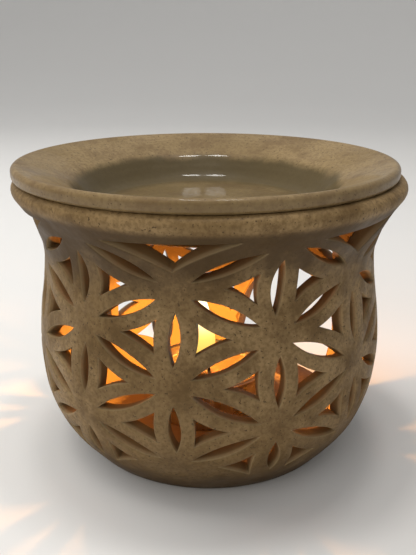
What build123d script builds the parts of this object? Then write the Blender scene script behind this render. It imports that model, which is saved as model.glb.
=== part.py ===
# Essential oil burner: a pierced stoneware pot, a lift-off oil dish and a tealight candle.
# Millimetres and degrees, +Z up. The origin is the middle of the pot's base, and the doorway
# for the candle looks along +Y. Angles round the pot start at -Y and turn towards +X.
import os
from math import atan2, cos, hypot, radians, sin

from build123d import *

os.makedirs("parts", exist_ok=True)

# Pot: its foot, heel and waist lie inside the belly's radius, and its rim flares from the waist
pot_height = 89.5
belly_radius = 56.0
belly_height = 36.6
foot_inset = 14.3
foot_lean = 48
foot_round = 1.5
heel_inset = 5.0
heel_height = 12.2
waist_inset = 3.0
waist_drop = 24.2
rim_flare = 8.4
rim_lean = 54
lip_round = 2.7
lip_thickness = 6.4
mouth_round = 1.2
wall = 4.2
floor_thickness = 6.0
floor_inset = 6.7

# Doorway in the pot's back, which the tealight goes through
door_clearance = 1.8
door_headroom = 0.5

# Carved lattice: stars of six leaves, in two sets of columns that stand half a row apart
stars_round = 6
star_rows = 3
collar_depth = 7.8
top_star_drop = 0.5
foot_band = 10.5
low_star_rise = 4.2
star_radius = 6.2
leaf_width = 4.7
leaf_band = 3.7
triangle_bow = 0.055
collar_bow = 0.03

# Oil dish: its flange ends just inside the pot's rim
dish_inset = 1.4
dish_rim = 4.6
dish_wall = 4.4
dish_land = 5.2
flange_width = 17.0
flange_drop = 6.5
flange_bow = 0.8
flange_round = 60.0
well_slope = 7.0
well_depth = 8.5
rim_round = 1.5
well_edge_round = 8.0
well_floor_round = 8.0
dish_foot_round = 5.0
dish_shift = (-0.88, -0.74)

# Tealight
cup_radius = 19.0
cup_height = 16.5
cup_sheet = 0.4
cup_bead = 0.6
candle_gap = 0.3
wax_height = 12.5
pool_depth = 1.2
pool_margin = 2.0
wick_radius = 0.9
wick_show = 7.0
wick_gap = 0.05
wick_round = 0.45
sustainer_radius = 6.5
sustainer_sheet = 0.4
neck_height = 4.0
neck_wall = 0.6

# Radii and levels that follow from the sizes above
foot_radius = belly_radius - foot_inset
heel_radius = belly_radius - heel_inset
waist_radius = belly_radius - waist_inset
rim_radius = waist_radius + rim_flare
floor_radius = foot_radius - floor_inset
waist_height = pot_height - waist_drop
collar_height = pot_height - collar_depth
top_star_height = collar_height - top_star_drop
low_star_height = foot_band + low_star_rise
row_step = (top_star_height - low_star_height) / (2 * star_rows - 1)
column_step = 180 / stars_round
door_radius = cup_radius + cup_bead + door_clearance
door_straight = cup_height + door_headroom
dish_radius = rim_radius - dish_inset
dish_top = pot_height + dish_rim
well_radius = dish_radius - flange_width
well_floor_radius = well_radius - well_slope
well_edge_height = dish_top - flange_drop
well_floor_height = well_edge_height - well_depth
cup_floor_height = floor_thickness + cup_sheet
wax_top = cup_floor_height + wax_height

# Every hole's plane stands one wall off the pot, and the cut goes on to twice the wall's depth
plane_stand_off = wall
cut_depth = plane_stand_off + 2 * wall
search_steps = 30

# The pot's outer wall: foot, heel, belly and waist, then a flare that runs into the round lip
lip_centre = Vector(rim_radius - lip_round, pot_height - lip_round)
rim_direction = Vector(cos(radians(rim_lean)), sin(radians(rim_lean)))
flare_end = lip_centre + Vector(rim_direction.Y, -rim_direction.X) * lip_round
wall_line = Spline(
    (foot_radius, 0),
    (heel_radius, heel_height),
    (belly_radius, belly_height),
    (waist_radius, waist_height),
    flare_end,
    tangents=[(cos(radians(foot_lean)), sin(radians(foot_lean))), rim_direction],
)


def wall_at(height):
    """Find the wall's point (radius, height) and the direction in which it rises there."""
    low = 0.0
    high = 1.0
    for halving in range(search_steps):
        middle = (low + high) / 2
        if (wall_line @ middle).Y < height:
            low = middle
        else:
            high = middle
    return wall_line @ low, wall_line % low


def inner_wall_at(height):
    """Find the point one wall thickness behind the outer wall's point at a height."""
    point, rise = wall_at(height)
    return point + Vector(-rise.Y, rise.X) * wall


def wall_plane(angle, height):
    """Lay a plane just outside the wall: X runs round the pot, Y up the wall and Z outwards."""
    point, rise = wall_at(height)
    turn = angle - 90
    place = Vector(point.X, 0, point.Y).rotate(Axis.Z, turn)
    round_pot = Vector(0, 1, 0).rotate(Axis.Z, turn)
    outwards = Vector(rise.Y, 0, -rise.X).rotate(Axis.Z, turn)
    return Plane(origin=place + outwards * plane_stand_off, x_dir=round_pot, z_dir=outwards)


def on_plane(centre, star):
    """Place a star's (angle, height) on the wall plane at a hole's centre."""
    point, rise = wall_at(centre[1])
    along = radians(star[0] - centre[0]) * point.X
    return Vector(along, (star[1] - centre[1]) / rise.Y)


def clear_of_door(angle, height, corners):
    """Tell whether a hole's corners all keep a clay band between them and the doorway."""
    point, rise = wall_at(height)
    for corner in corners:
        corner_angle = radians(angle) + corner.X / point.X
        across = point.X * sin(corner_angle)
        above = max(height + corner.Y * rise.Y - floor_thickness - door_straight, 0)
        if cos(corner_angle) < 0 and hypot(across, above) < door_radius + leaf_band:
            return False
    return True


def hole_planes(centre, corners):
    """Lay one plane at each place round the pot where a hole fits."""
    places = [centre[0] + 2 * column_step * turn for turn in range(stars_round)]
    kept = [angle for angle in places if clear_of_door(angle, centre[1], corners)]
    return [wall_plane(angle, centre[1]) for angle in kept]


def leaf(low, high, low_margin, high_margin):
    """Outline a pointed leaf on the line between two stars, short of both by the margins."""
    centre = ((low[0] + high[0]) / 2, (low[1] + high[1]) / 2)
    start = on_plane(centre, low)
    end = on_plane(centre, high)
    along = (end - start).normalized()
    tips = [start + along * low_margin, end - along * high_margin]
    bow = leaf_width / 2 / (tips[1] - tips[0]).length
    return centre, tips, [bow, bow]


def triangle(stars):
    """Outline a triangle inside three stars, one clay band off their leaves, if there is room."""
    centre = (sum(star[0] for star in stars) / 3, sum(star[1] for star in stars) / 3)
    points = [on_plane(centre, star) for star in stars]
    doubled_area = (points[1] - points[0]).cross(points[2] - points[0]).Z
    if doubled_area < 0:
        points.reverse()
    opposite = [(points[(i + 1) % 3] - points[(i + 2) % 3]).length for i in range(3)]
    weighted = [point * side for point, side in zip(points, opposite)]
    middle = (weighted[0] + weighted[1] + weighted[2]) / sum(opposite)
    inset = leaf_width / 2 + leaf_band
    shrink = 1 - inset * sum(opposite) / abs(doubled_area)
    corners = [middle + (point - middle) * shrink for point in points]
    if shrink <= 0:
        corners = []
    return centre, corners, [-triangle_bow] * 3


def collar_hole(star, side_star):
    """Outline the wide hole above a top star, with its upper edge along the collar."""
    centre = (star[0], (star[1] + collar_height) / 2)
    low = on_plane(centre, star)
    side = on_plane(centre, side_star)
    lean = atan2(side.Y - low.Y, side.X - low.X)
    point_height = low.Y + (leaf_width / 2 + leaf_band) / cos(lean)
    top = on_plane(centre, (star[0], collar_height)).Y
    half_width = (top - point_height) * cos(lean) / sin(lean)
    corners = [Vector(0, point_height), Vector(half_width, top), Vector(-half_width, top)]
    return centre, corners, [-collar_bow, 0, -collar_bow]


def lattice():
    """List one repeat of the carving: each hole's centre, corners and the bows of its sides."""
    first = [(0, top_star_height - 2 * row_step * row) for row in range(star_rows + 1)]
    holes = [leaf((0, foot_band), first[star_rows - 1], 0, star_radius)]
    for side in (-1, 1):
        angle = side * column_step
        second = [(angle, top_star_height - row_step * (2 * row + 1)) for row in range(star_rows)]
        for row in range(star_rows):
            holes.append(leaf(second[row], first[row], star_radius, star_radius))
            holes.append(triangle([first[row], first[row + 1], second[row]]))
        for row in range(star_rows - 1):
            holes.append(leaf(first[row + 1], second[row], star_radius, star_radius))
            holes.append(triangle([second[row], second[row + 1], first[row + 1]]))
    for row in range(star_rows - 1):
        holes.append(leaf(first[row + 1], first[row], star_radius, star_radius))
        holes.append(leaf(second[row + 1], second[row], star_radius, star_radius))
    holes.append(collar_hole(second[0], (2 * column_step, top_star_height)))
    return [hole for hole in holes if hole[1]]


with BuildPart() as pot:
    # The thrown pot: a floor, a shaped wall and a thick lip with a flat top
    with BuildSketch(Plane.XZ):
        with BuildLine():
            Line((0, 0), (foot_radius, 0))
            add(wall_line)
            lip_side = lip_centre + Vector(lip_round, 0)
            lip_top = lip_centre + Vector(0, lip_round)
            mouth_edge = Vector(rim_radius - lip_thickness, pot_height)
            ThreePointArc(flare_end, lip_side, lip_top)
            Line(lip_top, mouth_edge)
            inner = Spline(
                mouth_edge,
                inner_wall_at(waist_height),
                inner_wall_at(belly_height),
                inner_wall_at(heel_height),
                (floor_radius, floor_thickness),
                tangents=[-rim_direction, (-1, 0)],
            )
            Line(inner @ 1, (0, floor_thickness))
            Line((0, floor_thickness), (0, 0))
        make_face()
    revolve(axis=Axis.Z)
    fillet(pot.edges().group_by(Axis.Z)[0], radius=foot_round)
    fillet(pot.edges().group_by(Axis.Z)[-1].sort_by(SortBy.LENGTH)[0], radius=mouth_round)

    # The doorway: straight sides from the floor and a half-round head, cut from the middle out
    with BuildSketch(Plane.XZ):
        with BuildLine():
            left_foot = Vector(-door_radius, floor_thickness)
            right_foot = Vector(door_radius, floor_thickness)
            left_spring = left_foot + Vector(0, door_straight)
            right_spring = right_foot + Vector(0, door_straight)
            Polyline(left_spring, left_foot, right_foot, right_spring)
            RadiusArc(left_spring, right_spring, door_radius)
        make_face()
    extrude(amount=-rim_radius, mode=Mode.SUBTRACT)

    # The carving: leaves, triangles and collar holes, all cut square to the wall
    for centre, corners, bows in lattice():
        with BuildSketch(*hole_planes(centre, corners)):
            with BuildLine():
                for start, end, bow in zip(corners, corners[1:] + corners[:1], bows):
                    side = end - start
                    middle = (start + end) / 2 + Vector(side.Y, -side.X) * bow
                    if bow == 0:
                        Line(start, end)
                    else:
                        ThreePointArc(start, middle, end)
            make_face()
    extrude(amount=-cut_depth, mode=Mode.SUBTRACT)

with BuildPart() as dish:
    # A flanged dish whose bowl hangs in the pot's mouth and whose flange rests on the lip
    seat_outer = rim_radius - lip_round
    rim_edge = Vector(dish_radius, dish_top)
    edge = Vector(well_radius, well_edge_height)
    flange = (rim_edge - edge).normalized()
    flange_middle = (rim_edge + edge) / 2 + Vector(-flange.Y, flange.X) * flange_bow
    bottom = Vector(well_floor_radius, well_floor_height)
    under = (edge - bottom).normalized()
    offset_out = Vector(under.Y, -under.X) * dish_wall
    neck_under = edge + offset_out
    foot_under = bottom + offset_out
    foot_height = well_floor_height - dish_wall
    foot_under = foot_under - under * ((foot_under.Y - foot_height) / under.Y)
    dish_plane = Plane(origin=(*dish_shift, 0), x_dir=(1, 0, 0), z_dir=(0, -1, 0))
    with BuildSketch(dish_plane) as dish_profile:
        with BuildLine():
            Polyline(
                (0, well_floor_height),
                bottom,
                edge,
                flange_middle,
                rim_edge,
                (dish_radius, pot_height),
                (seat_outer - dish_land, pot_height),
                neck_under,
                foot_under,
                (0, foot_height),
                close=True,
            )
        make_face()
        rounds = [
            (rim_edge, rim_round),
            ((dish_radius, pot_height), rim_round),
            (flange_middle, flange_round),
            (edge, well_edge_round),
            (bottom, well_floor_round),
            (neck_under, well_edge_round),
            (foot_under, dish_foot_round),
        ]
        for corner, radius in rounds:
            fillet(dish_profile.vertices().sort_by_distance(corner)[0], radius=radius)
    revolve(axis=Axis((*dish_shift, 0), (0, 0, 1)))

with BuildPart() as cup:
    # A pressed foil cup with a curled edge, standing on the pot's floor
    bead_height = floor_thickness + cup_height - cup_bead
    with BuildSketch(Plane.XZ):
        with Locations((0, floor_thickness)):
            Rectangle(cup_radius, cup_sheet, align=(Align.MIN, Align.MIN))
        with Locations((cup_radius - cup_sheet, floor_thickness)):
            Rectangle(cup_sheet, cup_height - cup_bead, align=(Align.MIN, Align.MIN))
        with Locations((cup_radius, bead_height)):
            Circle(cup_bead)
    revolve(axis=Axis.Z)

neck_radius = wick_radius + wick_gap + neck_wall
neck_top = cup_floor_height + sustainer_sheet + neck_height

with BuildPart() as wax:
    # A wax puck with a shallow melted pool, and room for the sustainer and wick
    wax_radius = cup_radius - cup_sheet - candle_gap
    with BuildSketch(Plane.XZ):
        with BuildLine():
            pool_radius = wax_radius - pool_margin
            Line((0, cup_floor_height), (wax_radius, cup_floor_height))
            Line((wax_radius, cup_floor_height), (wax_radius, wax_top))
            Line((wax_radius, wax_top), (pool_radius, wax_top))
            pool = TangentArc((0, wax_top - pool_depth), (pool_radius, wax_top), tangent=(1, 0))
            Line(pool @ 0, (0, cup_floor_height))
        make_face()
        hollows = [
            (sustainer_radius + wick_gap, sustainer_sheet + wick_gap),
            (neck_radius + wick_gap, sustainer_sheet + neck_height + wick_gap),
            (wick_radius + wick_gap, wax_height),
        ]
        with Locations((0, cup_floor_height)):
            for hollow in hollows:
                Rectangle(*hollow, align=(Align.MIN, Align.MIN), mode=Mode.SUBTRACT)
    revolve(axis=Axis.Z)

with BuildPart() as sustainer:
    # A tin disc with a short neck that holds the wick upright on the cup's floor
    with BuildSketch(Plane.XZ):
        with Locations((0, cup_floor_height)):
            Rectangle(sustainer_radius, sustainer_sheet, align=(Align.MIN, Align.MIN))
        with Locations((neck_radius - neck_wall, cup_floor_height)):
            Rectangle(neck_wall, neck_top - cup_floor_height, align=(Align.MIN, Align.MIN))
    revolve(axis=Axis.Z)

with BuildPart() as wick:
    # A straight cotton wick from the sustainer's disc to above the pool
    wick_foot = cup_floor_height + sustainer_sheet
    with BuildSketch(Plane.XY.offset(wick_foot)):
        Circle(wick_radius)
    extrude(amount=wax_top - pool_depth + wick_show - wick_foot)
    fillet(wick.edges().group_by(Axis.Z)[-1], radius=wick_round)

pieces = {
    "pierced_pot": pot,
    "oil_dish": dish,
    "tealight_cup": cup,
    "candle_wax": wax,
    "wick_sustainer": sustainer,
    "candle_wick": wick,
}
for name, piece in pieces.items():
    piece.part.label = name
    export_step(piece.part, f"parts/{name}.step")
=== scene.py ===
import random
from math import atan2, cos, hypot, pi, radians, sin

import bpy
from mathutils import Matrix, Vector
from mathutils.geometry import delaunay_2d_cdt


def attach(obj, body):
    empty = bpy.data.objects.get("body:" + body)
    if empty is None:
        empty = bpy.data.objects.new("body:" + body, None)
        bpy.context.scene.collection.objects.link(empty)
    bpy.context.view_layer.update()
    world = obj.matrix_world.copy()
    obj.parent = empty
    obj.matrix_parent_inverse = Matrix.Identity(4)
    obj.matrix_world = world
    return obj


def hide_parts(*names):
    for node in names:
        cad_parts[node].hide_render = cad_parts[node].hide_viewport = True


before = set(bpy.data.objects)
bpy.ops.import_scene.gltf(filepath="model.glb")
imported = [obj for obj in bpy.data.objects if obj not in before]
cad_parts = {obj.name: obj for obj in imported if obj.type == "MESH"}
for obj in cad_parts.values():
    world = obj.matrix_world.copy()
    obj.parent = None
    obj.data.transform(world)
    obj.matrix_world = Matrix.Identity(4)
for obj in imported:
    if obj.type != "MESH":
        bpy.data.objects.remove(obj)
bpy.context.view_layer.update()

# The pot: stoneware thrown on a wheel and carved right through by hand while leather-hard,
# with a doorway cut in its back for the candle. It has a thin matt oatmeal glaze and stands
# on its flat base.
mm = 0.001
pot_height = 89.5 * mm
thin_wall = 4.2 * mm
collar_wall = 5.6 * mm
thickening_height = 66 * mm
floor_thickness = 6.0 * mm
floor_radius = 35.0 * mm

# The carving: six-leaf stars in rows, from the foot up to the plain collar
carved_low = 8.0 * mm
carved_high = 82.7 * mm
foot_band = 10.5 * mm
collar_height = 81.7 * mm
top_star_height = 81.2 * mm
row_step = 13.3 * mm
star_angle = radians(60)
star_radius = 5.5 * mm
leaf_width = 3.7 * mm
leaf_band = 3.65 * mm
triangle_sag = 0.5 * mm
outer_round = 0.5 * mm
inner_round = 0.5 * mm

# The doorway's half width, the height where its round head starts, and its sponged edge
door_half = 21.4 * mm
door_spring = 23.0 * mm
door_round = 0.8 * mm

# The hand's unevenness: the turn of a cut in degrees, its stretch, and its slip in millimetres
hand_seed = 11
hand_turn = 2.5
hand_stretch = (0.94, 1.04)
hand_slip = 0.35

# How fine the mesh is, the radius that it is laid flat at, and the winding seam between its strips
leaf_steps = 13
triangle_steps = 7
collar_steps = 13
mesh_step = 2.1 * mm
flat_radius = 55 * mm
strip_columns = 40
carved_rows = 36
edge_steps = 4
seam_angle = 0.0565
seam_sway = 1.1 * mm
seam_fade = 3 * mm

# Height, radius and lean of the outer wall at its foot, heel, belly, waist and rim
wall_knots = [
    (0.0 * mm, 41.7 * mm, 0.90),
    (12.2 * mm, 51.0 * mm, 0.53),
    (36.6 * mm, 56.0 * mm, -0.02),
    (65.3 * mm, 53.0 * mm, -0.07),
    (85.2 * mm, 60.9 * mm, 0.73),
]


def wall_at(height):
    """Radius and lean of the outer wall at a height, on a smooth curve through the knots."""
    for low_knot, high_knot in zip(wall_knots, wall_knots[1:]):
        if height <= high_knot[0]:
            break
    low, low_radius, low_lean = low_knot
    high, high_radius, high_lean = high_knot
    span = high - low
    t = (height - low) / span
    radius = (1 + 2 * t) * (1 - t) ** 2 * low_radius + t * t * (3 - 2 * t) * high_radius
    radius += span * (t * (1 - t) ** 2 * low_lean + t * t * (t - 1) * high_lean)
    lean = 6 * t * (t - 1) * (low_radius - high_radius) / span
    lean += (1 - t) * (1 - 3 * t) * low_lean + t * (3 * t - 2) * high_lean
    return radius, lean


def wall_thickness(height):
    """The wall thickens from the waist up to the collar."""
    rise = min(max((height - thickening_height) / (carved_high - thickening_height), 0), 1)
    return thin_wall + (collar_wall - thin_wall) * rise * rise * (3 - 2 * rise)


def wall_point(angle, height, depth):
    """A point in the wall, at a depth square to its outer face."""
    radius, lean = wall_at(height)
    square = hypot(1, lean)
    radius -= depth / square
    return Vector((radius * sin(angle), -radius * cos(angle), height + depth * lean / square))


def on_wall(centre, spot):
    """A star's (angle, height) in the flat frame of the wall round a hole's centre."""
    radius, lean = wall_at(centre[1])
    return Vector(((spot[0] - centre[0]) * radius, (spot[1] - centre[1]) * hypot(1, lean)))


def bowed(corners, bows, steps):
    """A closed outline whose sides bow out by the given amounts."""
    outline = []
    for start, end, bow in zip(corners, corners[1:] + corners[:1], bows):
        along = (end - start).normalized()
        outwards = Vector((along.y, -along.x))
        for step in range(steps):
            t = step / steps
            outline.append(start.lerp(end, t) + outwards * (4 * bow * t * (1 - t)))
    return outline


def leaf(low, high, low_margin=star_radius):
    """A pointed leaf on the line between two stars."""
    centre = ((low[0] + high[0]) / 2, (low[1] + high[1]) / 2)
    start = on_wall(centre, low)
    end = on_wall(centre, high)
    along = (end - start).normalized()
    tips = [start + along * low_margin, end - along * star_radius]
    return centre, bowed(tips, [leaf_width / 2] * 2, leaf_steps)


def triangle(stars):
    """A triangle between three stars, one clay band away from the leaves."""
    centre = (sum(star[0] for star in stars) / 3, sum(star[1] for star in stars) / 3)
    points = [on_wall(centre, star) for star in stars]
    doubled_area = (points[1] - points[0]).cross(points[2] - points[0])
    if doubled_area < 0:
        points.reverse()
    sides = [(points[(i + 1) % 3] - points[(i + 2) % 3]).length for i in range(3)]
    middle = sum((point * side for point, side in zip(points, sides)), Vector((0, 0))) / sum(sides)
    shrink = 1 - (leaf_width / 2 + leaf_band) * sum(sides) / abs(doubled_area)
    corners = [middle + (point - middle) * shrink for point in points]
    return centre, bowed(corners, [-triangle_sag] * 3, triangle_steps)


def collar_hole(star, side_star):
    """The wide hole above a top star, with its upper edge along the collar."""
    centre = (star[0], (star[1] + collar_height) / 2)
    low = on_wall(centre, star)
    side = on_wall(centre, side_star)
    lean = atan2(side.y - low.y, side.x - low.x)
    point_height = low.y + (leaf_width / 2 + leaf_band) / cos(lean)
    top = on_wall(centre, (star[0], collar_height)).y
    half = (top - point_height) * cos(lean) / sin(lean)
    corners = [Vector((0, point_height)), Vector((half, top)), Vector((-half, top))]
    return centre, bowed(corners, [-triangle_sag, 0, -triangle_sag], collar_steps)


def star_lattice():
    """One repeat of the carving, on both sides of a column of stars at angle 0."""
    first = [(0, top_star_height - 2 * row_step * row) for row in range(4)]
    holes = [leaf((0, foot_band), first[2], low_margin=0)]
    for side in (-1, 1):
        angle = side * star_angle / 2
        second = [(angle, top_star_height - row_step * (2 * row + 1)) for row in range(3)]
        for row in range(3):
            holes.append(leaf(second[row], first[row]))
            holes.append(triangle([first[row], first[row + 1], second[row]]))
        for row in range(2):
            holes.append(leaf(first[row + 1], second[row]))
            holes.append(triangle([second[row], second[row + 1], first[row + 1]]))
    for row in range(2):
        holes.append(leaf(first[row + 1], first[row]))
        holes.append(leaf(second[row + 1], second[row]))
    holes.append(collar_hole(second[0], (star_angle, top_star_height)))
    return holes


def carved_by_hand(outline, hand):
    """No two cuts are the same: each is turned, stretched and moved a little."""
    turn = radians(hand.uniform(-hand_turn, hand_turn))
    stretch = hand.uniform(*hand_stretch)
    move = Vector((hand.uniform(-hand_slip, hand_slip) * mm, hand.uniform(-hand_slip, hand_slip) * mm))
    middle = sum(outline, Vector((0, 0))) / len(outline)
    moved = []
    for point in outline:
        arm = (point - middle) * stretch
        swung = Vector((arm.x * cos(turn) - arm.y * sin(turn), arm.x * sin(turn) + arm.y * cos(turn)))
        moved.append(middle + swung + move)
    return moved


def grown(outline, distance):
    """The outline moved outwards all round, with its sharp tips kept."""
    least_mitre = 0.55
    ring = []
    for before, point, after in zip(outline[-1:] + outline[:-1], outline, outline[1:] + outline[:1]):
        first = (point - before).normalized()
        second = (after - point).normalized()
        outwards = Vector((first.y + second.y, -first.x - second.x)).normalized()
        mitre = max(outwards.dot(Vector((first.y, -first.x))), least_mitre)
        ring.append(point + outwards * (distance / mitre))
    return ring


def clear_of_door(centre, outline):
    """Whether a hole keeps a clay band between itself and the doorway."""
    radius, lean = wall_at(centre[1])
    for point in outline:
        angle = centre[0] + point.x / radius
        height = centre[1] + point.y / hypot(1, lean)
        across = hypot(radius * sin(angle), max(height - door_spring, 0))
        if cos(angle) < 0 and across < door_half + leaf_band:
            return False
    return True


def inside(point, ring):
    """Whether a flat point lies inside a closed ring."""
    crossings = 0
    for start, end in zip(ring, ring[1:] + ring[:1]):
        if (start.y > point.y) != (end.y > point.y):
            crossings += point.x < start.x + (end.x - start.x) * (point.y - start.y) / (end.y - start.y)
    return crossings % 2 == 1


def star_nearness(angle, height):
    """1 in the middle of the nearest star, falling to 0 away from it."""
    shade_radius = 1.4 * star_radius
    column = round(angle / (star_angle / 2))
    high = top_star_height - row_step * (column % 2)
    star = high - 2 * row_step * round((high - height) / (2 * row_step))
    away = on_wall((angle, height), (column * star_angle / 2, star)).length
    return max(0, 1 - away / shade_radius)


def sway_at(height):
    """A strip's side winds through the clay: near the stars' middles, clear of the upright leaves."""
    wave = cos(pi * (top_star_height - row_step - height) / row_step)
    ends = min(1, (carved_high - height) / seam_fade, (height - carved_low) / seam_fade)
    return seam_sway * wave * ends / wall_at(height)[0]


def strip_border(angles, rows):
    """The flat outline of a strip: along its foot, up a winding side, back along its top and down."""
    border = [(angle, rows[0]) for angle in angles]
    border += [(angles[-1] + sway_at(row), row) for row in rows[1:-1]]
    border += [(angle, rows[-1]) for angle in reversed(angles)]
    border += [(angles[0] + sway_at(row), row) for row in reversed(rows[1:-1])]
    return [Vector((angle * flat_radius, row)) for angle, row in border]


def worn_rings(centre, outline):
    """The rings of a hole's worn edge: the (angle, height) of their points, and how far they sink."""
    radius, lean = wall_at(centre[1])
    rings = []
    for step in range(edge_steps + 1):
        bend = pi / 2 * step / edge_steps
        ring = grown(outline, outer_round * (1 - sin(bend)))
        spots = [(centre[0] + p.x / radius, centre[1] + p.y / hypot(1, lean)) for p in ring]
        rings.append((spots, 1 - cos(bend)))
    return rings


def clay_between(angles, rows, mouths):
    """A strip's flat clay round its holes: its points, its triangles and the points of each outline."""
    same_point = 1e-9
    too_close = mesh_step / 2
    border = strip_border(angles, rows)
    middles = [sum(mouth, Vector((0, 0))) / len(mouth) for mouth in mouths]
    reaches = [max((p - middle).length for p in mouth) for mouth, middle in zip(mouths, middles)]
    flat = []
    edges = []
    outlines = []
    for ring in [border] + mouths:
        start = len(flat)
        flat.extend(ring)
        outlines.append(range(start, start + len(ring)))
        edges.extend((start + i, start + (i + 1) % len(ring)) for i in range(len(ring)))

    def mouths_near(spot, margin):
        return [m for m, c, r in zip(mouths, middles, reaches) if (spot - c).length < r + margin]

    def is_close(spot, ring):
        return min((spot - p).length for p in ring) < too_close

    # Extra points in the clay between the holes let the mesh follow the pot's curves
    wide = angles[-1] * flat_radius - angles[0] * flat_radius
    for row in range(1, int((rows[-1] - rows[0]) / mesh_step)):
        for place in range(int(wide / mesh_step) + 2):
            shifted = (place + row % 2 / 2) * mesh_step
            spot = Vector((angles[0] * flat_radius + shifted, rows[0] + row * mesh_step))
            if not inside(spot, border) or is_close(spot, border):
                continue
            if any(inside(spot, m) or is_close(spot, m) for m in mouths_near(spot, mesh_step)):
                continue
            flat.append(spot)
    flat, _, made_faces, origins, *_ = delaunay_2d_cdt(flat, edges, [], 0, same_point)
    made_from = {old: new for new, olds in enumerate(origins) for old in olds}
    clay = []
    for face in made_faces:
        middle = sum((flat[i] for i in face), Vector((0, 0))) / 3
        if inside(middle, border) and not any(inside(middle, m) for m in mouths_near(middle, 0)):
            clay.append(tuple(face))
    return flat, clay, [[made_from[i] for i in outline] for outline in outlines]


def carved_strip(name, first_angle, columns, holes):
    """Mesh one stretch of the pot, from its base over the lip to its floor, with its holes."""
    column = star_angle / strip_columns
    carved = carved_high - carved_low
    angles = [first_angle + column * i for i in range(columns + 1)]
    rows = [carved_low + carved * i / carved_rows for i in range(carved_rows + 1)]
    hole_rings = [worn_rings(*hole) for hole in holes]
    mouths = []
    for rings in hole_rings:
        mouths.append([Vector((angle * flat_radius, height)) for angle, height in rings[0][0]])
    flat, clay, (border_ids, *mouth_ids) = clay_between(angles, rows, mouths)
    low_ids = border_ids[: columns + 1]
    high_start = columns + len(rows) - 1
    high_ids = border_ids[high_start : high_start + columns + 1][::-1]

    points = []
    depths = []
    star_shades = []
    faces = []

    def put(point, depth, star_shade=0):
        points.append(point)
        depths.append(depth)
        star_shades.append(star_shade)
        return len(points) - 1

    def put_ring(profile, depth):
        return [put(Vector((profile[0] * sin(a), -profile[0] * cos(a), profile[1])), depth) for a in angles]

    def bridge(upper, lower, closed=False):
        pairs = list(zip(upper, lower))
        following = pairs[1:] + pairs[:1] if closed else pairs[1:]
        for (a, b), (next_a, next_b) in zip(pairs, following):
            faces.append((a, next_a, next_b, b))

    outer = []
    inner = []
    for spot in flat:
        angle = spot.x / flat_radius
        outer.append(put(wall_point(angle, spot.y, 0), 0, star_nearness(angle, spot.y)))
        inner.append(put(wall_point(angle, spot.y, wall_thickness(spot.y)), 1))
    faces.extend(tuple(outer[i] for i in face) for face in clay)
    faces.extend(tuple(inner[i] for i in reversed(face)) for face in clay)

    # The sides of each hole, with a worn edge outside and inside
    for ids, rings in zip(mouth_ids, hole_rings):
        ring_ids = [[outer[i] for i in ids]]
        for spots, sink in rings[1:]:
            depth = sink * outer_round
            ring_ids.append([put(wall_point(a, h, depth), depth / wall_thickness(h)) for a, h in spots])
        for spots, sink in reversed(rings[1:]):
            ring = []
            for angle, height in spots:
                thickness = wall_thickness(height)
                depth = thickness - sink * inner_round
                ring.append(put(wall_point(angle, height, depth), depth / thickness))
            ring_ids.append(ring)
        ring_ids.append([inner[i] for i in ids])
        for upper, lower in zip(ring_ids, ring_ids[1:]):
            bridge(upper, lower, closed=True)

    # The base, from the carved wall down round the foot to the middle
    foot = [(wall_at(height)[0], height) for height in (6 * mm, 4 * mm, 2 * mm)]
    foot += [(42.6 * mm, 0.9 * mm), (41.7 * mm, 0.25 * mm), (40.6 * mm, 0.0), (20 * mm, 0.0)]
    rings = [[outer[i] for i in low_ids]] + [put_ring(profile, 0) for profile in foot]
    for upper, lower in zip(rings, rings[1:]):
        bridge(lower, upper)
    base_middle = put(Vector((0, 0, 0)), 0)
    faces.extend((base_middle, b, a) for a, b in zip(rings[-1], rings[-1][1:]))

    # The lip, from the carved wall over its flat top and into the mouth
    lip_round = 2.7 * mm
    lip_middle = (58.69 * mm, pot_height - lip_round)
    lip = [(wall_at(height)[0], height) for height in (84 * mm, 85 * mm)]
    for step in range(9):
        bend = radians(-30 + 15 * step)
        lip.append((lip_middle[0] + lip_round * cos(bend), lip_middle[1] + lip_round * sin(bend)))
    lip += [(57.4 * mm, pot_height), (56.3 * mm, pot_height), (55.6 * mm, 89.2 * mm), (55.0 * mm, 88.4 * mm)]
    rings = [[outer[i] for i in high_ids]] + [put_ring(profile, 0) for profile in lip]
    rings.append([inner[i] for i in high_ids])
    for lower, upper in zip(rings, rings[1:]):
        bridge(lower, upper)

    # The floor, from the inside of the wall down to the middle
    floor = [(43.0 * mm, 7.9 * mm), (40.6 * mm, 6.7 * mm), (38.0 * mm, 6.1 * mm)]
    floor += [(floor_radius, floor_thickness), (18 * mm, floor_thickness)]
    rings = [[inner[i] for i in low_ids]] + [put_ring(profile, 1) for profile in floor]
    for upper, lower in zip(rings, rings[1:]):
        bridge(upper, lower)
    floor_middle = put(Vector((0, 0, floor_thickness)), 1)
    faces.extend((floor_middle, a, b) for a, b in zip(rings[-1], rings[-1][1:]))

    mesh = bpy.data.meshes.new(name)
    mesh.from_pydata(points, [], faces)
    mesh.attributes.new("depth", "FLOAT", "POINT").data.foreach_set("value", depths)
    mesh.attributes.new("star_shade", "FLOAT", "POINT").data.foreach_set("value", star_shades)
    mesh.validate()
    return bpy.data.objects.new(name, mesh)


def turned_into(holes, first_angle, last_angle):
    """The holes whose centres fall between two angles, from repeats of the carving."""
    spread = []
    for repeat in range(-4, 8):
        for (angle, height), outline in holes:
            turned_angle = angle + repeat * star_angle
            if first_angle <= turned_angle < last_angle:
                spread.append(((turned_angle, height), outline))
    return spread


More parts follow.
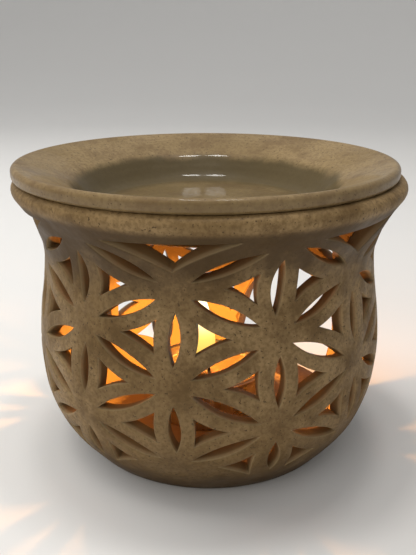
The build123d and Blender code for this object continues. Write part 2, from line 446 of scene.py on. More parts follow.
lattice = star_lattice()
hand = random.Random(hand_seed)
plain_holes = turned_into(lattice, seam_angle, seam_angle + star_angle)
plain_holes = [(centre, carved_by_hand(outline, hand)) for centre, outline in plain_holes]
plain_strip = carved_strip("plain_strip", seam_angle, strip_columns, plain_holes)
rear_angle = seam_angle + 2 * star_angle
rear_holes = turned_into(lattice, rear_angle, rear_angle + 2 * star_angle)
rear_holes = [hole for hole in rear_holes if clear_of_door(*hole)]
rear_holes = [(centre, carved_by_hand(outline, hand)) for centre, outline in rear_holes]
rear_strip = carved_strip("rear_strip", rear_angle, 2 * strip_columns, rear_holes)

# The knife that cuts the doorway, a hair above the floor, with the colour of carved clay
sill_clearance = 0.02 * mm
door_sill = floor_thickness + sill_clearance
door_reach = (20 * mm, 70 * mm)
door_steps = 32
carved_depth = 0.5
door_outline = [(-door_half, door_sill), (door_half, door_sill)]
for step in range(door_steps + 1):
    bend = pi * step / door_steps
    door_outline.append((door_half * cos(bend), door_spring + door_half * sin(bend)))
door_points = [(x, y, z) for y in door_reach for x, z in door_outline]
door_count = len(door_outline)
door_faces = [tuple(range(door_count)), tuple(reversed(range(door_count, 2 * door_count)))]
for i in range(door_count):
    following = (i + 1) % door_count
    door_faces.append((i, door_count + i, door_count + following, following))
door_mesh = bpy.data.meshes.new("door_cut")
door_mesh.from_pydata(door_points, [], door_faces)
door_depths = door_mesh.attributes.new("depth", "FLOAT", "POINT")
door_depths.data.foreach_set("value", [carved_depth] * len(door_points))
door_cut = bpy.data.objects.new("door_cut", door_mesh)


def add_node(tree, kind, inputs=None, **settings):
    """Add a node, with its settings, its plain inputs and its links."""
    node = tree.nodes.new(kind)
    for setting, value in settings.items():
        setattr(node, setting, value)
    for socket, value in (inputs or {}).items():
        if isinstance(value, bpy.types.NodeSocket):
            tree.links.new(value, node.inputs[socket])
        else:
            node.inputs[socket].default_value = value
    return node


def new_paint(name):
    """An empty material: its tree, its surface shader and the piece's own coordinates."""
    material = bpy.data.materials.new(name)
    material.use_nodes = True
    tree = material.node_tree
    surface = tree.nodes["Principled BSDF"]
    place = add_node(tree, "ShaderNodeTexCoord").outputs["Object"]
    return material, tree, surface, place


def step_up(tree, value, low, high, to_low=0.0, to_high=1.0):
    """Turn a value smoothly from one level to another between two limits."""
    limits = {"Value": value, "From Min": low, "From Max": high, "To Min": to_low, "To Max": to_high}
    return add_node(tree, "ShaderNodeMapRange", limits, interpolation_type="SMOOTHSTEP").outputs[0]


def ramp(tree, value, low, high):
    """Turn a value evenly from 0 to 1 between two limits."""
    limits = {"Value": value, "From Min": low, "From Max": high}
    return add_node(tree, "ShaderNodeMapRange", limits).outputs[0]


def worked_out(tree, operation, *values):
    """The result of a sum on one to three numbers."""
    return add_node(tree, "ShaderNodeMath", dict(enumerate(values)), operation=operation).outputs[0]


def vector_worked_out(tree, operation, inputs, result=0):
    """The result of a sum on vectors, or its length."""
    return add_node(tree, "ShaderNodeVectorMath", inputs, operation=operation).outputs[result]


def blended(tree, share, first, second):
    """Blend two colours by a share."""
    node = add_node(tree, "ShaderNodeMix", data_type="RGBA")
    for socket, value in ((node.inputs[0], share), (node.inputs[6], first), (node.inputs[7], second)):
        if isinstance(value, bpy.types.NodeSocket):
            tree.links.new(value, socket)
        else:
            socket.default_value = value
    return node.outputs[2]


def noise(tree, place, scale, detail=3.0, roughness=0.55):
    """A cloudy pattern between about 0.2 and 0.8."""
    inputs = {"Vector": place, "Scale": scale, "Detail": detail, "Roughness": roughness}
    return add_node(tree, "ShaderNodeTexNoise", inputs).outputs[0]


def speckled_glaze(tree, place, ground, cloud, brown, speck):
    """A glaze that clouds, breaks brown in patches and carries iron specks of two sizes."""
    colour = blended(tree, step_up(tree, noise(tree, place, 26, 4), 0.38, 0.62), ground, cloud)
    patches = noise(tree, place, 62, 7, 0.72)
    colour = blended(tree, step_up(tree, patches, 0.44, 0.66, 0, 0.8), colour, brown)
    grain = step_up(tree, noise(tree, place, 950, 3), 0.4, 0.66, 0, 0.5)
    colour = blended(tree, grain, colour, brown)
    fine = step_up(tree, noise(tree, place, 1250, 1), 0.665, 0.72, 0, 0.8)
    colour = blended(tree, fine, colour, speck)
    spot = add_node(tree, "ShaderNodeTexVoronoi", {"Vector": place, "Scale": 340.0, "Randomness": 1.0})
    chance = add_node(tree, "ShaderNodeSeparateColor", {"Color": spot.outputs["Color"]}).outputs[0]
    size = step_up(tree, chance, 0.82, 1.0, 0.0, 0.15)
    inside_spot = worked_out(tree, "SUBTRACT", size, spot.outputs["Distance"])
    crowded = step_up(tree, noise(tree, place, 45, 2), 0.42, 0.58, 0.15, 0.75)
    amount = worked_out(tree, "MULTIPLY", step_up(tree, inside_spot, 0.0, 0.08), crowded)
    return blended(tree, amount, colour, speck)


def uneven(tree, patterns, depths):
    """Stack bumpy patterns of given depths in metres into one normal."""
    normal = None
    for pattern, depth in zip(patterns, depths):
        inputs = {"Height": pattern, "Strength": 1.0, "Distance": depth}
        if normal:
            inputs["Normal"] = normal
        normal = add_node(tree, "ShaderNodeBump", inputs).outputs[0]
    return normal


pot_glaze, tree, surface, place = new_paint("pot_oatmeal_glaze")
oatmeal = (0.295, 0.195, 0.088, 1)
cloud = (0.22, 0.14, 0.058, 1)
breaking_brown = (0.112, 0.064, 0.022, 1)
# A toasted brown that also carries painted shade at the foot and under the lip
toasted_and_shaded_brown = (0.06, 0.034, 0.012, 1)
iron_speck = (0.055, 0.031, 0.013, 1)
# Worn edge colour, which also carries a painted highlight
worn_edge_and_highlight = (0.43, 0.32, 0.175, 1)
carved_brown = (0.165, 0.1, 0.04, 1)
inside_buff = (0.42, 0.3, 0.155, 1)
soot_brown = (0.03, 0.017, 0.007, 1)
depth = add_node(tree, "ShaderNodeAttribute", attribute_name="depth").outputs["Fac"]
star_shade = add_node(tree, "ShaderNodeAttribute", attribute_name="star_shade").outputs["Fac"]
colour = speckled_glaze(tree, place, oatmeal, cloud, breaking_brown, iron_speck)
height = add_node(tree, "ShaderNodeSeparateXYZ", {"Vector": place}).outputs["Z"]
ragged = step_up(tree, noise(tree, place, 55, 5, 0.65), 0.3, 0.7, -5 * mm, 5 * mm)
ragged_height = worked_out(tree, "ADD", height, ragged)
# Darker towards the foot: a toasted brown, and painted shade low on the pot by the floor
foot_shade = step_up(tree, ragged_height, 2 * mm, 23 * mm, 0.85, 0.0)
# A darker band under the lip: painted shade under the flaring lip, with a toasted brown
collar_shade = step_up(tree, ragged_height, 62 * mm, 77 * mm, 0.0, 0.9)
below_lip = step_up(tree, height, 83.5 * mm, 86 * mm, 1.0, 0.0)
collar_shade = worked_out(tree, "MULTIPLY", collar_shade, below_lip)
patchy = step_up(tree, noise(tree, place, 140, 5, 0.7), 0.35, 0.65, 0.0, 0.8)
star_shade = worked_out(tree, "MULTIPLY", star_shade, patchy)
colour = blended(tree, star_shade, colour, breaking_brown)
# Painted shade with a toasted brown, at the foot and in the band under the lip
colour = blended(tree, foot_shade, colour, toasted_and_shaded_brown)
colour = blended(tree, collar_shade, colour, toasted_and_shaded_brown)
# Hole edges lighter all round: glaze thinned on the worn edges, and a painted highlight where they catch the
# light
colour = blended(tree, step_up(tree, depth, 0.005, 0.08, 0, 0.5), colour, worn_edge_and_highlight)
colour = blended(tree, step_up(tree, depth, 0.2, 0.42, 0, 0.85), colour, carved_brown)
sooted = step_up(tree, ragged_height, 22 * mm, 50 * mm, 0, 0.95)
inner_colour = blended(tree, sooted, inside_buff, soot_brown)
colour = blended(tree, step_up(tree, depth, 0.9, 1.0, 0, 0.85), colour, inner_colour)
tree.links.new(colour, surface.inputs["Base Color"])
sheen = step_up(tree, noise(tree, place, 60, 3), 0.3, 0.7, 0.46, 0.66)
tree.links.new(sheen, surface.inputs["Roughness"])
surface.inputs["Specular IOR Level"].default_value = 0.2
wave = {"Vector": place, "Scale": 55.0, "Distortion": 1.6, "Detail": 2.0}
rings = add_node(tree, "ShaderNodeTexWave", wave, bands_direction="Z").outputs["Fac"]
bumps = [noise(tree, place, 60, 3), rings, noise(tree, place, 420, 3)]
tree.links.new(uneven(tree, bumps, [1.1 * mm, 0.07 * mm, 0.1 * mm]), surface.inputs["Normal"])


def new_tree(name, sockets):
    """An empty node tree with named inputs, which hands out one shape."""
    tree = bpy.data.node_groups.new(name, "GeometryNodeTree")
    for socket_name, kind in sockets.items():
        tree.interface.new_socket(socket_name, in_out="INPUT", socket_type="NodeSocket" + kind)
    tree.interface.new_socket("Geometry", in_out="OUTPUT", socket_type="NodeSocketGeometry")
    return tree, tree.nodes.new("NodeGroupInput").outputs


def hand_out(tree, shape, material):
    """The end of a tree: one real shape, with its material."""
    real = add_node(tree, "GeometryNodeRealizeInstances", {0: shape}).outputs[0]
    painted = add_node(tree, "GeometryNodeSetMaterial", {"Geometry": real, "Material": material})
    tree.links.new(painted.outputs[0], tree.nodes.new("NodeGroupOutput").inputs[0])
    return tree


def shape_of(tree, blank):
    """The shape of an object that is given to a tree."""
    return add_node(tree, "GeometryNodeObjectInfo", {"Object": blank}).outputs["Geometry"]


def pot_tree():
    """Strips turned round the axis and joined, the doorway cut, and the hand's drift added."""
    tree, given = new_tree("thrown_and_carved", {
        "Plain strip": "Object",
        "Rear strip": "Object",
        "Door cut": "Object",
        "Plain copies": "Int",
        "First turn": "Float",
        "Turn": "Float",
        "Weld": "Float",
        "Drift": "Float",
        "Drift scale": "Float",
        "Drift seed": "Float",
        "Still foot": "Float",
        "Free above": "Float",
        "Free below": "Float",
        "Still lip": "Float",
        "Material": "Material",
    })

    # The plain strip's copies stand side by side round the axis, next to the rear strip
    places = add_node(tree, "GeometryNodePoints", {"Count": given["Plain copies"]}).outputs[0]
    number = add_node(tree, "GeometryNodeInputIndex").outputs[0]
    angle = worked_out(tree, "MULTIPLY_ADD", number, given["Turn"], given["First turn"])
    about_axis = {"Axis": (0, 0, 1), "Angle": angle}
    about = add_node(tree, "FunctionNodeAxisAngleToRotation", about_axis).outputs[0]
    copied = {"Points": places, "Instance": shape_of(tree, given["Plain strip"]), "Rotation": about}
    copies = add_node(tree, "GeometryNodeInstanceOnPoints", copied).outputs[0]
    whole = add_node(tree, "GeometryNodeJoinGeometry", {0: shape_of(tree, given["Rear strip"])})
    tree.links.new(copies, whole.inputs[0])
    real = add_node(tree, "GeometryNodeRealizeInstances", {0: whole.outputs[0]}).outputs[0]
    sewn = add_node(tree, "GeometryNodeMergeByDistance", {0: real, "Distance": given["Weld"]}).outputs[0]

    # The doorway is cut out, and its edges are marked for the sponge
    knife = {"Mesh 1": sewn, "Mesh 2": shape_of(tree, given["Door cut"])}
    cut = add_node(tree, "GeometryNodeMeshBoolean", knife, operation="DIFFERENCE", solver="EXACT").outputs
    marked = {"Geometry": cut["Mesh"], "Name": "bevel_weight_edge", "Value": cut["Intersecting Edges"]}
    edged = add_node(tree, "GeometryNodeStoreNamedAttribute", marked, domain="EDGE", data_type="FLOAT")

    # The carved wall drifts a little out of true, but not the foot and the lip
    cloudy = {"Scale": given["Drift scale"], "W": given["Drift seed"], "Detail": 1}
    wander = add_node(tree, "ShaderNodeTexNoise", cloudy, noise_dimensions="4D")
    centred = vector_worked_out(tree, "SUBTRACT", {0: wander.outputs["Color"], 1: (0.5, 0.5, 0.5)})
    spot = add_node(tree, "GeometryNodeInputPosition").outputs[0]
    height = add_node(tree, "ShaderNodeSeparateXYZ", {0: spot}).outputs["Z"]
    above_foot = ramp(tree, height, given["Still foot"], given["Free above"])
    below_lip = ramp(tree, height, given["Still lip"], given["Free below"])
    amount = worked_out(tree, "MULTIPLY", worked_out(tree, "MULTIPLY", above_foot, below_lip), given["Drift"])
    drift = vector_worked_out(tree, "SCALE", {0: centred, "Scale": amount})
    drifted = {"Geometry": edged.outputs[0], "Offset": drift}
    moved = add_node(tree, "GeometryNodeSetPosition", drifted).outputs[0]
    return hand_out(tree, moved, given["Material"])


def set_out(name, contents):
    """Put a new piece, lamp or camera into the scene, at the origin."""
    thing = bpy.data.objects.new(name, contents)
    bpy.context.collection.objects.link(thing)
    return thing


def made_mesh(name, tree, values, finish=None):
    """Run a node tree with its named inputs on an empty mesh, and keep the result as a plain mesh."""
    maker = set_out(name + "_maker", bpy.data.meshes.new(name + "_maker"))
    nodes = maker.modifiers.new("nodes", "NODES")
    nodes.node_group = tree
    for item in tree.interface.items_tree:
        if item.in_out == "INPUT":
            nodes[item.identifier] = values[item.name]
    if finish:
        finish(maker)
    bpy.context.view_layer.update()
    mesh = bpy.data.meshes.new_from_object(maker.evaluated_get(bpy.context.evaluated_depsgraph_get()))
    bpy.data.objects.remove(maker)
    mesh.name = name
    mesh.shade_smooth()
    return set_out(name, mesh)


def round_doorway(maker):
    """The doorway's edges are sponged round."""
    bevel = maker.modifiers.new("sponged", "BEVEL")
    bevel.limit_method = "WEIGHT"
    bevel.width = door_round
    bevel.segments = 3


pot_values = {
    "Plain strip": plain_strip,
    "Rear strip": rear_strip,
    "Door cut": door_cut,
    "Plain copies": 4,
    "First turn": -2 * star_angle,
    "Turn": star_angle,
    "Weld": 0.01 * mm,
    "Drift": 1.2 * mm,
    "Drift scale": 45.0,
    "Drift seed": 3.0,
    "Still foot": 6.5 * mm,
    "Free above": 14 * mm,
    "Free below": 76 * mm,
    "Still lip": 83 * mm,
    "Material": pot_glaze,
}
pot = made_mesh("pot", pot_tree(), pot_values, round_doorway)
for blank in (plain_strip, rear_strip, door_cut):
    bpy.data.objects.remove(blank)
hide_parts("pierced_pot")
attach(pot, "pot")

# The oil dish: a thrown stoneware dish with a wide flange that rests on the pot's lip and a
# bowl that hangs in its mouth. Its glaze is glossier than the pot's, and it lifts off by hand.
dish_centre = Vector((-0.88 * mm, -0.74 * mm, 0))
dish_radius = 60.0 * mm
dish_rim = 94.1 * mm
bowl_bottom = 74.7 * mm
well_floor = 79.1 * mm
dish_step = 1.2 * mm
dish_sides = 256


def rounded(corners):
    """The points of a profile whose corners (radius, height, rounding) are softened."""
    arc_steps = 8
    points = []
    for before, corner, after in zip(corners, corners[1:], corners[2:]):
        here = Vector(corner[:2])
        back = (Vector(before[:2]) - here).normalized()
        onward = (Vector(after[:2]) - here).normalized()
        opening = back.angle(onward)
        run = corner[2] / (sin(opening / 2) / cos(opening / 2))
        middle = here + (back + onward).normalized() * (corner[2] / sin(opening / 2))
        first = here + back * run - middle
        last = here + onward * run - middle
        if corner[2] == 0:
            points.append(here)
            continue
        shares = [step / arc_steps for step in range(arc_steps + 1)]
        points.extend(middle + first.slerp(last, share) * corner[2] for share in shares)
    return [Vector(corners[0][:2])] + points + [Vector(corners[-1][:2])]


def finer(profile, step):
    """The same profile with points about one step apart, or closer."""
    points = [profile[0]]
    for start, end in zip(profile, profile[1:]):
        count = max(1, round((end - start).length / step))
        points.extend(start.lerp(end, (i + 1) / count) for i in range(count))
    return points


def turned(name, profile, segments, centre=Vector((0, 0, 0))):
    """Turn a profile, listed with the solid on its left, round the vertical axis."""
    on_axis = 1e-6
    points = []
    faces = []
    rings = []
    is_ring = profile[0] == profile[-1]
    for radius, height in profile[:-1] if is_ring else profile:
        if radius < on_axis:
            rings.append([len(points)] * segments)
            points.append(centre + Vector((0, 0, height)))
            continue
        rings.append(list(range(len(points), len(points) + segments)))
        for i in range(segments):
            angle = 2 * pi * i / segments
            points.append(centre + Vector((radius * cos(angle), radius * sin(angle), height)))
    if is_ring:
        rings.append(rings[0])
    for ring, following in zip(rings, rings[1:]):
        for i in range(segments):
            j = (i + 1) % segments
            face = [ring[i], ring[j], following[j], following[i]]
            faces.append(list(dict.fromkeys(face)))
    mesh = bpy.data.meshes.new(name)
    mesh.from_pydata(points, [], [face for face in faces if len(face) > 2])
    mesh.shade_smooth()
    return set_out(name, mesh)


# Radius, height and rounding of each corner, from the bowl's underside out and over the flange
dish_corners = [
    (0, bowl_bottom, 0),
    (38.1 * mm, bowl_bottom, 5.0 * mm),
    (46.4 * mm, 84.8 * mm, 8.0 * mm),
    (53.5 * mm, pot_height, 0.4 * mm),
    (dish_radius, pot_height, 1.5 * mm),
    (dish_radius, dish_rim, 1.5 * mm),
    (51.2 * mm, 91.6 * mm, 60.0 * mm),
    (43.0 * mm, 87.6 * mm, 8.0 * mm),
    (36.0 * mm, well_floor, 8.0 * mm),
    (0, well_floor, 0),
]
dish = turned("dish", finer(rounded(dish_corners), dish_step), dish_sides, dish_centre)


def from_axis(tree, place):
    """The distance of a place from the vertical axis."""
    flat = vector_worked_out(tree, "MULTIPLY", {0: place, 1: (1, 1, 0)})
    return vector_worked_out(tree, "LENGTH", {0: flat}, "Value")


dish_paint, tree, surface, place = new_paint("dish_khaki_glaze")
khaki = (0.285, 0.2, 0.093, 1)
khaki_cloud = (0.222, 0.152, 0.064, 1)
rim_brown = (0.15, 0.092, 0.038, 1)
# Pooled glaze olive, which also carries painted shade in the well
pooled_olive_and_well_shade = (0.078, 0.056, 0.021, 1)
colour = speckled_glaze(tree, place, khaki, khaki_cloud, rim_brown, iron_speck)
from_middle = vector_worked_out(tree, "SUBTRACT", {0: place, 1: dish_centre})
wander = step_up(tree, noise(tree, place, 90, 4), 0.25, 0.75, -0.9 * mm, 0.9 * mm)
reach = worked_out(tree, "ADD", from_axis(tree, from_middle), wander)
# Darker olive in the well: glaze pooled there, and painted shade, strongest on its steep walls
well_in = step_up(tree, reach, 30 * mm, 36 * mm, 0.42, 0.9)
well_out = step_up(tree, reach, 41.2 * mm, 44 * mm, 1, 0)
colour = blended(tree, worked_out(tree, "MULTIPLY", well_in, well_out), colour, pooled_olive_and_well_shade)
colour = blended(tree, step_up(tree, reach, 58.3 * mm, 60.2 * mm, 0, 0.35), colour, rim_brown)
tree.links.new(colour, surface.inputs["Base Color"])
sheen = step_up(tree, noise(tree, place, 70, 3), 0.3, 0.7, 0.42, 0.58)
tree.links.new(sheen, surface.inputs["Roughness"])
surface.inputs["Specular IOR Level"].default_value = 0.2
surface.inputs["Coat Weight"].default_value = 0.3
surface.inputs["Coat Roughness"].default_value = 0.06
wave = {"Vector": from_middle, "Scale": 170.0, "Distortion": 1.5, "Detail": 2.0}
rings = add_node(tree, "ShaderNodeTexWave", wave, wave_type="RINGS", rings_direction="Z").outputs["Fac"]
bumps = [noise(tree, place, 45, 3), rings, noise(tree, place, 330, 3)]
tree.links.new(uneven(tree, bumps, [0.9 * mm, 0.018 * mm, 0.05 * mm]), surface.inputs["Normal"])
dish.data.materials.append(dish_paint)
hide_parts("oil_dish")
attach(dish, "dish")

# The tealight's cup: thin aluminium foil, pressed with fine flutes round its side and curled
# over at the top. It stands loose on the pot's floor.
cup_radius = 19.0 * mm
cup_foil = 0.4 * mm
cup_bead = 0.6 * mm
cup_floor = floor_thickness
cup_top = 22.5 * mm
cup_corner = 0.8 * mm
cup_corner_cut = 0.2 * mm
bead_steps = 12
cup_step = 1.0 * mm
cup_sides = 288
bead_middle = Vector((cup_radius, cup_top - cup_bead))
cup_outline = [
    (0, cup_floor),
    (cup_radius - cup_corner, cup_floor),
    (cup_radius - cup_corner_cut, cup_floor + cup_corner_cut),
    (cup_radius, cup_floor + cup_corner),
]
for step in range(bead_steps + 1):
    bend = radians(-90 + 270 * step / bead_steps)
    cup_outline.append(bead_middle + Vector((cos(bend), sin(bend))) * cup_bead)
cup_outline += [
    (cup_radius - cup_foil, bead_middle.y - cup_bead),
    (cup_radius - cup_foil, cup_floor + cup_foil),
    (0, cup_floor + cup_foil),
]
cup_profile = [Vector(point) for point in cup_outline]
cup_blank = turned("cup_blank", finer(cup_profile, cup_step), cup_sides)

foil, tree, surface, place = new_paint("cup_bright_foil")
surface.inputs["Metallic"].default_value = 1.0
dull_foil = (0.42, 0.42, 0.43, 1)
bright_foil = (0.58, 0.58, 0.58, 1)
foil_grain = noise(tree, place, 240, 3)
tree.links.new(blended(tree, foil_grain, dull_foil, bright_foil), surface.inputs["Base Color"])
tree.links.new(step_up(tree, foil_grain, 0.3, 0.7, 0.26, 0.44), surface.inputs["Roughness"])
tree.links.new(uneven(tree, [noise(tree, place, 160, 2)], [0.25 * mm]), surface.inputs["Normal"])


def flute_tree():
    """Press shallow flutes inwards all round the side of a cup."""
    tree, given = new_tree("pressed_flutes", {
        "Blank": "Object",
        "Flutes": "Float",
        "Flute depth": "Float",
        "Low end": "Float",
        "High end": "Float",
        "Run out": "Float",
        "Material": "Material",
    })
    spot = add_node(tree, "GeometryNodeInputPosition").outputs[0]
    parts = add_node(tree, "ShaderNodeSeparateXYZ", {"Vector": spot}).outputs
    angle = worked_out(tree, "ARCTAN2", parts["Y"], parts["X"])
    wave = worked_out(tree, "COSINE", worked_out(tree, "MULTIPLY", angle, given["Flutes"]))
    pressed = worked_out(tree, "MULTIPLY_ADD", wave, -0.5, 0.5)
    low_full = worked_out(tree, "ADD", given["Low end"], given["Run out"])
    high_full = worked_out(tree, "SUBTRACT", given["High end"], given["Run out"])
    low = ramp(tree, parts["Z"], given["Low end"], low_full)
    high = ramp(tree, parts["Z"], given["High end"], high_full)
    depth = worked_out(tree, "MULTIPLY", pressed, given["Flute depth"])
    amount = worked_out(tree, "MULTIPLY", worked_out(tree, "MULTIPLY", low, high), depth)
    flat = add_node(tree, "ShaderNodeCombineXYZ", {"X": parts["X"], "Y": parts["Y"]}).outputs[0]
    outwards = vector_worked_out(tree, "NORMALIZE", {0: flat})
    back = worked_out(tree, "MULTIPLY", amount, -1.0)
    inwards = vector_worked_out(tree, "SCALE", {0: outwards, "Scale": back})
    pushed = {"Geometry": shape_of(tree, given["Blank"]), "Offset": inwards}
    moved = add_node(tree, "GeometryNodeSetPosition", pushed).outputs[0]
    return hand_out(tree, moved, given["Material"])


cup_values = {
    "Blank": cup_blank,
    "Flutes": 36.0,
    "Flute depth": 0.25 * mm,
    "Low end": cup_floor + 1.0 * mm,
    "High end": cup_top - 2.2 * mm,
    "Run out": 0.8 * mm,
    "Material": foil,
}
cup = made_mesh("cup", flute_tree(), cup_values)
bpy.data.objects.remove(cup_blank)
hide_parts("tealight_cup")
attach(cup, "cup")

# The candle's wax: a pressed paraffin puck that fills the cup, melted to a clear pool almost to
# its edge, with room under it for the wick's tin foot.
wax_foot = cup_floor + cup_foil
wax_edge = 18.9 * mm
wax_radius = 18.3 * mm
pool_middle = 17.7 * mm
wick_hole = 0.95 * mm
neck_room = 1.6 * mm
neck_top = 10.85 * mm
disc_room = 6.55 * mm
disc_top = 6.85 * mm
wax_step = 0.9 * mm
wax_sides = 128

# Radius, height and rounding of each corner, down the wick's hole, out and back over the pool
wax_corners = [
    (wick_hole, pool_middle, 0),
    (wick_hole, neck_top, 0),
    (neck_room, neck_top, 0),
    (neck_room, disc_top, 0),
    (disc_room, disc_top, 0),
    (disc_room, wax_foot, 0),
    (wax_radius, wax_foot, 0),
    (wax_radius, wax_edge, 0.4 * mm),
    (16.3 * mm, wax_edge, 0.7 * mm),
    (14.2 * mm, 18.0 * mm, 1.6 * mm),
    (wick_hole, pool_middle, 0),
]
wax = turned("wax", finer(rounded(wax_corners), wax_step), wax_sides)

wax_paint, tree, surface, place = new_paint("wax_paraffin")
wax_cream = (0.72, 0.66, 0.54, 1)
pool_brown = (0.12, 0.08, 0.042, 1)
pool = step_up(tree, from_axis(tree, place), 18.1 * mm, 17.4 * mm)
tree.links.new(blended(tree, pool, wax_cream, pool_brown), surface.inputs["Base Color"])
tree.links.new(step_up(tree, pool, 0, 1, 0.5, 0.06), surface.inputs["Roughness"])
surface.inputs["Subsurface Weight"].default_value = 0.5
surface.inputs["Subsurface Radius"].default_value = (1.0, 0.6, 0.35)
surface.inputs["Subsurface Scale"].default_value = 4 * mm
wax.data.materials.append(wax_paint)
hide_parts("candle_wax")
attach(wax, "candle")

# The wick's foot: a stamped tinplate disc with a crimped neck that grips the wick. It is pushed
# into the wax from below.
tin, tree, surface, place = new_paint("sustainer_tinplate")
surface.inputs["Metallic"].default_value = 1.0
dull_tin = (0.5, 0.5, 0.5, 1)
bright_tin = (0.7, 0.7, 0.7, 1)
tin_grain = noise(tree, place, 500, 2)
tree.links.new(blended(tree, tin_grain, dull_tin, bright_tin), surface.inputs["Base Color"])
surface.inputs["Roughness"].default_value = 0.4
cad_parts["wick_sustainer"].data.materials.clear()
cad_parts["wick_sustainer"].data.materials.append(tin)

# The wick: plaited cotton, held upright by its tin foot, waxed below, charred black above the pool
# and curling at the top, where its tip glows.
wick_radius = 0.9 * mm
wick_foot = 6.8 * mm
wick_top = 24.5 * mm
wick_lean = Vector((-1.8 * mm, -1.5 * mm, 0))
wick_sides = 20
wick_rows = 60
curl_start = 0.62
waxed_share = 0.97
charred_share = 0.8
tip_taper = 14
plait_strands = 1.5
plait_turns = 16 * pi
plait_depths = (0.13, 0.1)
wick_points = []
wick_faces = []
for row in range(wick_rows + 1):
    rise = row / wick_rows
    curl = wick_lean * (max(rise - curl_start, 0) / (1 - curl_start)) ** 2
    share = waxed_share if rise < curl_start else charred_share
    thick = wick_radius * min(1, (1.02 - rise) * tip_taper) ** 0.5 * share
    for side in range(wick_sides):
        turn = 2 * pi * side / wick_sides
        rightward = plait_depths[0] * abs(sin(plait_strands * turn + plait_turns * rise))
        leftward = plait_depths[1] * abs(sin(plait_strands * turn - plait_turns * rise))
        side_point = Vector((cos(turn), sin(turn), 0)) * (thick * (1 - rightward - leftward))
        wick_points.append(curl + side_point + Vector((0, 0, wick_foot + (wick_top - wick_foot) * rise)))
for row in range(wick_rows):
    for side in range(wick_sides):
        a = row * wick_sides + side
        b = row * wick_sides + (side + 1) % wick_sides
        wick_faces.append((a, b, b + wick_sides, a + wick_sides))
wick_faces.append(tuple(reversed(range(wick_sides))))
wick_faces.append(tuple(range(wick_rows * wick_sides, (wick_rows + 1) * wick_sides)))
wick_mesh = bpy.data.meshes.new("wick")
wick_mesh.from_pydata(wick_points, [], wick_faces)
wick_mesh.shade_smooth()
wick = set_out("wick", wick_mesh)
wick_paint, tree, surface, place = new_paint("wick_charred_cotton")
height = add_node(tree, "ShaderNodeSeparateXYZ", {"Vector": place}).outputs["Z"]
waxed_cotton = (0.62, 0.55, 0.42, 1)
char_black = (0.018, 0.015, 0.013, 1)
charred = step_up(tree, height, 18.0 * mm, 19.6 * mm)
tree.links.new(blended(tree, charred, waxed_cotton, char_black), surface.inputs["Base Color"])
surface.inputs["Roughness"].default_value = 0.85
surface.inputs["Emission Color"].default_value = (1.0, 0.22, 0.03, 1)
tree.links.new(step_up(tree, height, 23.4 * mm, wick_top, 0, 3.0), surface.inputs["Emission Strength"])
wick_mesh.materials.append(wick_paint)
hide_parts("candle_wick")
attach(wick, "candle")

# The flame: burning wax vapour, a tall drop that is dim amber at the wick, pale yellow in its
# body and orange at the tip. It stands on the wick and lights the pot from within.
flame_low = 20.5 * mm
flame_top = 49.0 * mm
flame_radius = 4.4 * mm
flame_rows = 40
flame_sides = 40
flame_belly = 0.62
flame_fullness = 0.9
flame_profile = []
for row in range(flame_rows + 1):
    rise = row / flame_rows
    swell = sin(pi * rise ** flame_belly) ** flame_fullness if 0 < rise < 1 else 0
    flame_profile.append(Vector((flame_radius * swell, flame_low + (flame_top - flame_low) * rise)))
flame = turned("flame", flame_profile, flame_sides, wick_lean)
flame_glow = bpy.data.materials.new("flame_glow")
flame_glow.use_nodes = True
tree = flame_glow.node_tree
tree.nodes.remove(tree.nodes["Principled BSDF"])
place = add_node(tree, "ShaderNodeTexCoord").outputs["Object"]
height = add_node(tree, "ShaderNodeSeparateXYZ", {"Vector": place}).outputs["Z"]
dim_amber = (1.0, 0.6, 0.12, 1)
pale_yellow = (1.0, 0.86, 0.52, 1)
tip_orange = (1.0, 0.6, 0.15, 1)
body_colour = blended(tree, step_up(tree, height, 32 * mm, 42 * mm), dim_amber, pale_yellow)
flame_colour = blended(tree, step_up(tree, height, 45 * mm, flame_top), body_colour, tip_orange)
strength = step_up(tree, height, 24 * mm, 44 * mm, 1.05, 2.4)
glow = add_node(tree, "ShaderNodeEmission", {"Color": flame_colour, "Strength": strength}).outputs[0]
tree.links.new(glow, tree.nodes["Material Output"].inputs["Surface"])
flame.data.materials.append(flame_glow)
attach(flame, "candle")

flame_lamp = bpy.data.lights.new("flame_light", "POINT")
flame_lamp.energy = 0.3
flame_lamp.color = (1.0, 0.41, 0.075)
flame_lamp.shadow_soft_size = 4 * mm
flame_light = set_out("flame_light", flame_lamp)
flame_light.location = (-7.5 * mm, 6 * mm, 40 * mm)
flame_light.visible_glossy = False
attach(flame_light, "candle")

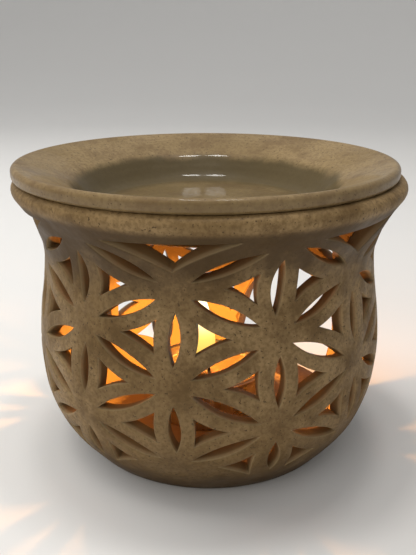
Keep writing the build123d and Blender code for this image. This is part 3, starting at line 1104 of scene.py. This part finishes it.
# The studio: a plain pale floor that curves up into a backdrop, soft lamps, two small ceiling
# lamps that glint in the glaze, and the photograph's camera.
studio_radius = 1.8
backdrop_top = 1.4
backdrop_round = 0.9
studio_sides = 96
studio_corners = [(0, 0, 0), (studio_radius, 0, backdrop_round), (studio_radius, backdrop_top, 0)]
floor = turned("floor", rounded(studio_corners)[::-1], studio_sides)
floor_paint, _, surface, _ = new_paint("studio_floor")
surface.inputs["Base Color"].default_value = (0.78, 0.77, 0.75, 1)
surface.inputs["Roughness"].default_value = 0.7
floor.data.materials.append(floor_paint)

# Name, place, size, power in watts, tint, and whether the lamp glints
lamps = [
    ("key", (-0.3, -0.1, 0.85), 0.5, 2.8, (1.0, 0.97, 0.92), False),
    ("left_ceiling", (-0.09, 0.0, 0.95), 0.11, 1.4, (1.0, 0.98, 0.95), True),
    ("right_ceiling", (0.045, 0.1, 0.95), 0.11, 1.4, (1.0, 0.98, 0.95), True),
    ("fill", (0.1, -0.75, 0.42), 0.7, 1.5, (1.0, 0.97, 0.94), False),
    ("side", (-0.7, -0.25, 0.4), 0.5, 1.9, (0.97, 0.98, 1.0), False),
]
lamp_aim = Vector((0, 0, 45 * mm))
for lamp_name, spot, size, power, tint, glints in lamps:
    lamp_data = bpy.data.lights.new(lamp_name, "AREA")
    lamp_data.size = size
    lamp_data.energy = power
    lamp_data.color = tint
    lamp = set_out(lamp_name, lamp_data)
    lamp.location = spot
    lamp.visible_glossy = glints
    lamp.rotation_euler = (lamp_aim - Vector(spot)).to_track_quat("-Z", "Y").to_euler()

camera_turn = radians(40)
camera_dip = radians(19.05)
camera_distance = 222.7 * mm
camera_height = 130.4 * mm
sideways_pixels = 1.4
photo_height_pixels = 555
camera_data = bpy.data.cameras.new("camera")
camera_data.lens = 45.66
camera_data.sensor_width = 36
camera_data.shift_x = -sideways_pixels / photo_height_pixels
camera = set_out("camera", camera_data)
camera.location = (camera_distance * sin(camera_turn), -camera_distance * cos(camera_turn), camera_height)
camera.rotation_euler = (pi / 2 - camera_dip, 0, camera_turn)
bpy.context.scene.camera = camera

world = bpy.data.worlds.new("studio")
bpy.context.scene.world = world
world.use_nodes = True
background = world.node_tree.nodes["Background"]
background.inputs["Color"].default_value = (0.82, 0.83, 0.85, 1)
background.inputs["Strength"].default_value = 0.5
bpy.context.scene.view_settings.view_transform = "Standard"
